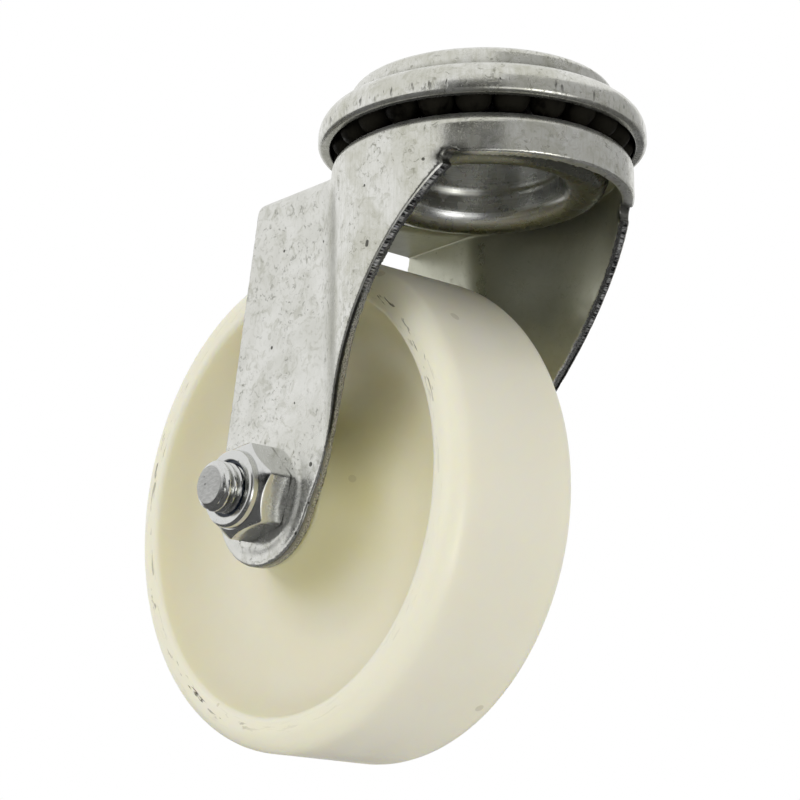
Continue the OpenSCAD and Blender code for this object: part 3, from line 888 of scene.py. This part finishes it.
class CastorForkOperator(bpy.types.Operator):
    """Build the pressed fork with its bends and sheared edges"""
    bl_idname = "castor.fork"
    bl_label = "Fork"

    def execute(self, context):
        _, head = sizes()
        low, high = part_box("fork")
        room = 2 * MM
        low, high = [v - room for v in low], [v + room for v in high]
        points, faces, normals = skin(fork_field, low, high, head.mesh_step)
        piece = new_piece("fork_pressing", points, faces.tolist(), "fork",
                          "Satin zinc, sheared", ["fork"])
        if len(piece.data.vertices) != len(points):
            raise RuntimeError("the fork's skin lost points")
        piece.data.normals_split_custom_set_from_vertices([tuple(n) for n in normals])
        x, y, z = points.T
        out = np.hypot(x, y)
        through = np.clip(-fork_faces(x, y, z) / head.fork_t, 0, 1)
        outside = through < 0.2
        paint(piece, "through", through)
        paint(piece, "drawn", np.exp(-((out - head.crown_r) / (0.5 * MM)) ** 2))
        # Grease and painted shade: a near-black band on the crown's top inside the bearing's gap
        bearing = np.clip((head.crown_r - 2 * MM - out) / MM, 0, 1)
        paint(piece, "greasy", bearing * (through < 0.5) * (z > head.crown_top - 3 * MM))
        # Painted shade: a dark hollow at the relief notch, a darker band in the crease, and a painted shadow
        # beside the nut
        notch_x, notch_z = x - head.leg_front - 0.6 * head.notch_r, z + head.skirt_drop + 0.3 * head.notch_r
        notch = np.hypot(notch_x / 1.5, notch_z) / (1.9 * MM)
        crease = np.exp(-((x - CREASE_X * MM) / (CREASE_REACH * MM)) ** 2)
        crease *= (np.abs(y) > head.panel_out + MM) * outside
        crease *= np.clip((-head.roof_drop - 3 * MM - z) / (6 * MM), 0, 1)
        nut_shadow = np.exp(-spot(x, z, NUT_SHADOW_PATCH) ** 2) * outside
        grime = np.maximum(1.2 * np.exp(-notch ** 4), 0.42 * crease)
        paint(piece, "grime", np.maximum(grime, 0.5 * nut_shadow).clip(0, 1))
        paint(piece, "rubbed", np.exp(-spot(x, z, RUBBED_PATCH) ** 4))
        paint(piece, "edge_run", np.interp(z, np.array(EDGE_LEVELS) * MM, EDGE_TEETH))
        paint(piece, "sheared", np.clip((-head.skirt_drop - 0.4 * MM - z) / MM, 0, 1))
        return {"FINISHED"}


class CastorCupsOperator(bpy.types.Operator):
    """Build the top cup, the lower cup and the hollow rivet that joins them"""
    bl_idname = "castor.cups"
    bl_label = "Cups and rivet"

    def execute(self, context):
        _, head = sizes()
        self.top_cup(head)
        self.lower_cup(head)
        self.rivet(head)
        return {"FINISHED"}

    def pressing(self, name, corners, turns, slot, finish, node):
        """Piece turned from a section's corners, with each point's distance from the axis and its level."""
        points, faces = turned(spaced(rounded(corners, 8), CUP_STEP), UPRIGHT, np.zeros(3), turns)
        piece = new_piece(name, points, faces, "head", finish, [node])
        return piece, np.hypot(points[:, 0], points[:, 1]), points[:, 2]

    def top_cup(self, h):
        hole, t = h.rivet_r + RIVET_GAP, h.cup_t
        inner = h.flange_r - t
        top = [(hole, -t, 0), (hole, -h.rivet_flare, 0), (hole + h.rivet_flare, 0, 0.1 * MM),
               (h.drum_r - h.drum_draft, 0, 1.6 * MM), (h.drum_r, -h.flange_top, 0.9 * MM),
               (h.flange_r, -h.flange_top, h.flange_corner_r), (h.flange_r, -h.flange_drop, 1.1 * MM),
               (inner, -h.flange_drop, 0.6 * MM), (inner, -h.flange_top - t, h.flange_corner_r - t),
               (h.drum_r - t, -h.flange_top - t, 0.8 * MM), (h.drum_r - t, -t, 0.6 * MM)]
        cup, out, z = self.pressing("top_cup_pressing", top, ROUND_FACES, "zinc_steel", "Satin zinc",
                                    "top_cup")
        # Grease and painted shade: the cup's underside and the inside of its drum
        under = (out < inner + 0.3 * MM) & (z < -h.flange_top - t / 2)
        paint(cup, "greasy", under | (out < h.drum_r - 0.7 * t) & (z < -t / 2))
        paint(cup, "drawn", (out > inner + 0.3 * MM) | (np.abs(out - h.drum_r) < 0.6 * MM))
        paint(cup, "nicked", (out > inner + MM) * np.exp(-((z + h.flange_drop - 1.9 * MM) / (0.9 * MM)) ** 2))
        # Painted shade: a dark line in the corner at the drum's foot and a darker band along the dust skirt's
        # lower edge
        foot = np.hypot(out - h.drum_r - 0.3 * MM, z + h.flange_top - 0.3 * MM) / (0.7 * MM)
        brim = (out > inner) * np.exp(-((z + h.flange_drop) / (0.5 * MM)) ** 2)
        paint(cup, "grime", np.maximum(0.9 * np.exp(-foot ** 2), 0.35 * brim))

    def lower_cup(self, h):
        wall_in, out_r = h.wall_out - h.lower_t, h.race_in + h.lower_t
        hole, ceiling = h.rivet_r + RIVET_GAP, -h.cup_t - h.lower_t
        dip, lean = h.lower_rim_z - h.bead_z, SHOULDER_LEAN
        in_start = math.pi + math.acos((h.bead_mid - h.wall_out) / h.race_in)
        in_end = 2 * math.pi + math.asin(dip / h.race_in)
        out_end = 2 * math.pi + math.asin(dip / out_r)
        ring_x, ring_z = h.bead_mid - out_r * math.cos(lean), h.bead_z - out_r * math.sin(lean)
        slope = (ring_x - wall_in) / math.sin(lean)
        lower = [(hole, ceiling, 0.2 * MM), (hole, -h.cup_t, 0), (h.wall_out, -h.cup_t, h.lower_corner_r)]
        lower += arc(h.bead_mid, h.bead_z, h.race_in, in_start, in_end, 16)
        lower += arc(h.bead_mid, h.bead_z, out_r, out_end, math.pi + lean, 24)
        lower += [(wall_in, ring_z + slope * math.cos(lean), 0.97 * slope / math.tan(lean / 2)),
                  (wall_in - 0.2 * h.lower_draft, h.draw_step_z - h.draw_step, 0),
                  (wall_in - h.draw_step - 0.2 * h.lower_draft, h.draw_step_z, 0),
                  (wall_in - h.draw_step - h.lower_draft, ceiling, h.lower_corner_r)]
        cup, out, z = self.pressing("lower_cup_pressing", lower, 192, "bright_steel", "Polished cup steel",
                                    "lower_cup")
        # Painted shade: olive under the ring and a dark line along the draw step
        under = np.clip((out - wall_in - 1.2 * MM) / (2 * MM), 0, 1) * np.clip((h.bead_z - z) / MM, 0, 1)
        step = (out < h.wall_out) * np.exp(-((z - h.draw_step_z) / (0.25 * MM)) ** 2)
        paint(cup, "grime", np.maximum(0.9 * under, 0.7 * step))

    def rivet(self, h):
        soft, wide = 0.35 * MM, h.rivet_r + h.rivet_flare
        ceiling = -h.cup_t - h.lower_t
        end = ceiling - h.rivet_flare
        rivet = [(h.rivet_hole_r, end, soft), (h.rivet_r, end, soft), (wide, ceiling, 0.2 * MM),
                 (h.rivet_r, ceiling, 0), (h.rivet_r, -h.rivet_flare, 0.2 * MM),
                 (wide, 0, 0.1 * MM), (h.rivet_hole_r, 0, 0.5 * MM)]
        points, faces = turned(spaced(rounded(rivet, 5), RIVET_STEP), UPRIGHT, np.zeros(3), 96)
        new_piece("king_rivet_turned", points, faces, "head", "Bright steel", ["king_rivet"])


def hex_sides(count, turn, h):
    """For each of count turns, the side of a hexagon of height h from its seat to its chamfered end."""
    w, _ = sizes()
    inscribed, soft = w.hex_half, 0.1 * MM
    widest = inscribed / math.cos(math.radians(30)) - 0.18 * MM
    end = inscribed - HEX_FACE_IN
    sides = []
    for j in range(count):
        a = (360 * j / count - math.degrees(turn)) % 60 - 30
        r = min(inscribed / math.cos(math.radians(a)), widest)
        low = 0.25 * MM * max(0.0, (r - inscribed) / (widest - inscribed))
        high = h - (r - end) * math.tan(HEX_CHAMFER)
        sides.append([(r - low * 2, 0), (r, low), (r, low + soft)]
                     + [(r, low + (high - low) * s) for s in (0.25, 0.5, 0.75)]
                     + [(r, high - soft), (r - 0.3 * soft, high - 0.1 * soft),
                        ((r + end) / 2, (high + h) / 2), (end, h)])
    return sides


class CastorAxleOperator(bpy.types.Operator):
    """Build the threaded axle bolt and its lock nut, and finish the nut's nylon ring and the axle tube"""
    bl_idname = "castor.axle"
    bl_label = "Axle, nut and ring"

    def execute(self, context):
        w, _ = sizes()
        self.nut(w)
        self.bolt(w)
        dress("nut_insert", "Blue nylon ring")
        dress("axle_tube", "Bright steel")
        return {"FINISHED"}

    def fastener(self, name, rings, centre, node):
        """Piece of bright steel on the axle, with crisp edges."""
        points, faces = swept(rings, TO_NUT, centre)
        faces = [f[::-1] for f in faces]
        piece = new_piece(name, points, faces, "fork", "Bright steel", [node])
        crisp(piece)
        return piece

    def nut(self, w):
        bore, lip = w.bolt_r + 0.1 * MM, w.nut_h - w.lip_h
        collar = rounded([(w.collar_r, w.nut_hex_h, 0), (w.collar_r, w.nut_h, 0.8 * MM),
                          (w.mouth_r, w.nut_h, 0.3 * MM), (w.mouth_r, lip, 0), (w.ring_r, lip, 0),
                          (w.ring_r, w.nut_hex_h, 0), (bore, w.nut_hex_h, 0), (bore, 0, 0)], 6)
        collar = [tuple(p) for p in collar[:-1]]
        sides = hex_sides(ROUND_FACES, w.nut_turn, w.nut_hex_h)
        rings = [np.array([(bore, 0)] + side + collar) for side in sides]
        self.fastener("lock_nut_turned", rings, axle_point(-w.seat), "lock_nut")

    def bolt(self, w):
        turns, tip, pitch = 144, w.bolt_tip, w.thread_pitch
        thread_from, chamfer_from = w.seat - 4 * MM, tip - w.bolt_chamfer
        heights = np.concatenate([np.linspace(-w.seat, thread_from, 9)[:-1],
                                  np.linspace(thread_from, chamfer_from, 121),
                                  np.linspace(chamfer_from, tip, 9)[1:]])
        end, face = w.bolt_r - w.bolt_chamfer, -w.seat - w.head_h
        rings = []
        for j, side in enumerate(hex_sides(turns, 0.0, w.head_h)):
            phase = (heights / pitch - j / turns) % 1.0
            tooth = np.clip(np.abs(phase - 0.5) * 2.6 - 0.35, 0, 1)
            r = w.bolt_r - w.thread_depth * tooth * np.clip((heights - thread_from) / pitch, 0, 1)
            near = np.clip((heights - tip) / w.bolt_chamfer + 1, 0, 1)
            r = np.minimum(r, w.bolt_r - w.bolt_chamfer * near ** 1.4)
            head = [(x, -w.seat - z) for x, z in reversed(side)]
            rings.append(np.array([(0.0, face), (0.5 * w.hex_half, face)] + head + list(zip(r, heights))
                                  + [(end * 0.95, tip), (end * 0.5, tip), (0.0, tip)]))
        bolt = self.fastener("axle_bolt_threaded", rings, axle_point(), "axle_bolt")
        x, y, z = np.array([v.co for v in bolt.data.vertices]).T
        paint(bolt, "dull", y < 0.02 * MM - tip)
        # Painted shade, darker deeper in the thread's grooves
        deep = w.bolt_r - np.hypot(x + w.trail, z + w.axle_drop)
        paint(bolt, "grime", np.clip(deep / w.thread_depth, 0, 1) ** 2 * (y > w.bolt_chamfer - tip) * 0.9)


class CastorBallsOperator(bpy.types.Operator):
    """Finish the two rows of loose bearing balls"""
    bl_idname = "castor.balls"
    bl_label = "Balls"

    def execute(self, context):
        balls = [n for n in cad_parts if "_ball_" in n]
        if not balls:
            raise RuntimeError("the frame has no balls")
        for node in balls:
            dress(node, "Greasy ball steel")
        return {"FINISHED"}


# Stage: angles in degrees, with turns counted from the camera

# Lamps: name, size and distance in metres, turn, rise, and whether reflections show it
LAMPS = (("Key", 0.5, 0.75, -42, 8, False), ("Fill", 0.28, 0.8, 42, -22, True))

# Cards for the studio's darker sides: name, tone, turns and rises between which each lies
CARDS = (("Dark card", 0.03, (-27, 14), (-8, 30)), ("Grey card", 0.60, (14, 138), (-8, 45)),
         ("Low card", 0.16, (65, 365), (-40, -8)), ("Under card", 0.16, (0, 360), (-90, -40)))
CARD_FAR, CARD_COLUMNS, CARD_ROWS = 0.6, 24, 8


def towards(turn, rise):
    """Direction from the castor, with a turn of 0 looking back along -Y."""
    return Vector((math.sin(turn) * math.cos(rise), -math.cos(turn) * math.cos(rise), math.sin(rise)))


class CastorStageOperator(bpy.types.Operator):
    """Set up the camera, the lights, the surroundings and the floor"""
    bl_idname = "castor.stage"
    bl_label = "Stage"

    def execute(self, context):
        scene = context.scene
        stage = scene.castor_stage
        scene.view_settings.view_transform = "Standard"
        self.camera(scene, stage)
        for lamp in LAMPS:
            self.lamp(stage, *lamp)
        for card in CARDS:
            self.card(stage, *card)
        self.world(scene, stage)
        self.floor()
        return {"FINISHED"}

    def camera(self, scene, stage):
        back = towards(stage.camera_turn, stage.camera_rise)
        right = Vector((math.cos(stage.camera_turn), math.sin(stage.camera_turn), 0))
        data = bpy.data.cameras.new("Camera")
        data.lens, data.sensor_width, data.clip_start = stage.lens, 36, 0.01
        camera = add_object("Camera", data)
        basis = Matrix((right, back.cross(right), back)).transposed()
        basis = basis @ Matrix.Rotation(stage.camera_roll, 3, "Z")
        place = Matrix.Translation(Vector(stage.camera_at) + back * stage.camera_far)
        camera.matrix_world = place @ basis.to_4x4()
        scene.camera = camera

    def lamp(self, stage, name, size, far, turn, rise, mirrored):
        data = bpy.data.lights.new(name, "AREA")
        data.energy, data.size = getattr(stage, name.lower()), size
        lamp = add_object(name, data)
        lamp.visible_camera, lamp.visible_glossy = False, mirrored
        back = towards(stage.camera_turn + math.radians(turn), math.radians(rise))
        lamp.location = MIDDLE + back * far
        lamp.rotation_euler = back.to_track_quat("Z", "Y").to_euler()

    def card(self, stage, name, tone, across, upward):
        """Part of a globe round the castor that only reflections see."""
        first, last = [stage.camera_turn + math.radians(a) for a in across]
        rises = np.radians(np.linspace(*upward, CARD_ROWS + 1))
        turns = np.linspace(first, last, CARD_COLUMNS + 1)
        points = [MIDDLE + CARD_FAR * towards(a, e) for a in turns for e in rises]
        step = CARD_ROWS + 1
        faces = [(i, i + step, i + step + 1, i + 1)
                 for k in range(CARD_COLUMNS) for i in range(k * step, k * step + CARD_ROWS)]
        material, tree, shader, place = new_material(name)
        shader.inputs["Roughness"].default_value = 0.9
        shader.inputs["Specular IOR Level"].default_value = 0.0
        weave = fade(tree, noise(tree, place, 40.0, 3), 0.3, 0.7)
        tree.links.new(blend(tree, weave, (tone,) * 3, (0.85 * tone,) * 3), shader.inputs["Base Color"])
        card = add_mesh(name, points, faces, material)
        for ray in ("camera", "diffuse", "transmission", "volume_scatter", "shadow"):
            setattr(card, "visible_" + ray, False)

    def world(self, scene, stage):
        world = bpy.data.worlds.new("Studio")
        world.use_nodes = True
        scene.world = world
        tree = world.node_tree
        tree.nodes.clear()
        path = tree.nodes.new("ShaderNodeLightPath").outputs
        seen = calc(tree, "MAXIMUM", path["Is Camera Ray"], path["Is Transmission Ray"])
        seen = calc(tree, "MAXIMUM", seen, path["Is Glossy Ray"])
        strength = put(tree, "ShaderNodeMapRange", Value=seen, To_Min=stage.ambient, To_Max=1.0).outputs[0]
        light = put(tree, "ShaderNodeBackground", Color=(1, 1, 1, 1), Strength=strength)
        tree.links.new(light.outputs[0], tree.nodes.new("ShaderNodeOutputWorld").inputs[0])

    def floor(self):
        """Pale floor that the camera sees from above, and nothing else sees."""
        material, tree, shader, place = new_material("Pale floor")
        shader.inputs["Roughness"].default_value = 0.9
        cloud = fade(tree, noise(tree, place, 6.0, 3), 0.3, 0.7)
        tree.links.new(blend(tree, cloud, (0.86,) * 3, (0.89,) * 3), shader.inputs["Base Color"])
        clear = tree.nodes.new("ShaderNodeBsdfTransparent")
        under = tree.nodes.new("ShaderNodeNewGeometry").outputs["Backfacing"]
        looked_at = tree.nodes.new("ShaderNodeLightPath").outputs["Is Camera Ray"]
        open_way = calc(tree, "MAXIMUM", under, calc(tree, "SUBTRACT", 1.0, looked_at))
        mixed = put(tree, "ShaderNodeMixShader", i0=open_way, i1=shader.outputs[0], i2=clear.outputs[0])
        out = next(n for n in tree.nodes if n.type == "OUTPUT_MATERIAL")
        tree.links.new(mixed.outputs[0], out.inputs[0])
        z, half = CAD_BOX[0][2] - 0.2 * MM, 1.5
        corners = [(-half, -half, z), (half, -half, z), (half, half, z), (-half, half, z)]
        add_mesh("Floor", corners, [(0, 1, 2, 3)], material)


class CastorPanel(bpy.types.Panel):
    """Lists the castor's pieces and its stage"""
    bl_idname = "VIEW3D_PT_castor"
    bl_label = "Swivel castor"
    bl_space_type = "VIEW_3D"
    bl_region_type = "UI"
    bl_category = "Castor"

    def draw(self, context):
        for operator in OPERATORS:
            self.layout.operator(operator.bl_idname)
        for group in GROUPS:
            box = self.layout.box()
            for name in GROUPS[group].__annotations__:
                box.prop(getattr(context.scene, group), name)


GROUPS = {"castor_wheel": CastorWheelSizes, "castor_head": CastorHeadSizes,
          "castor_finish": CastorFinish, "castor_stage": CastorStage}
OPERATORS = [CastorStageOperator, CastorWheelOperator, CastorForkOperator, CastorCupsOperator,
             CastorAxleOperator, CastorBallsOperator]


def register():
    for cls in [*GROUPS.values(), *OPERATORS, CastorPanel]:
        bpy.utils.register_class(cls)
    for name, group in GROUPS.items():
        setattr(bpy.types.Scene, name, PointerProperty(type=group))


def unregister():
    for name in GROUPS:
        delattr(bpy.types.Scene, name)
    for cls in reversed([*GROUPS.values(), *OPERATORS, CastorPanel]):
        bpy.utils.unregister_class(cls)


def main():
    """Builds everything in order."""
    register()
    for operator in OPERATORS:
        group, name = operator.bl_idname.split(".")
        getattr(getattr(bpy.ops, group), name)()


if __name__ == "__main__":
    main()
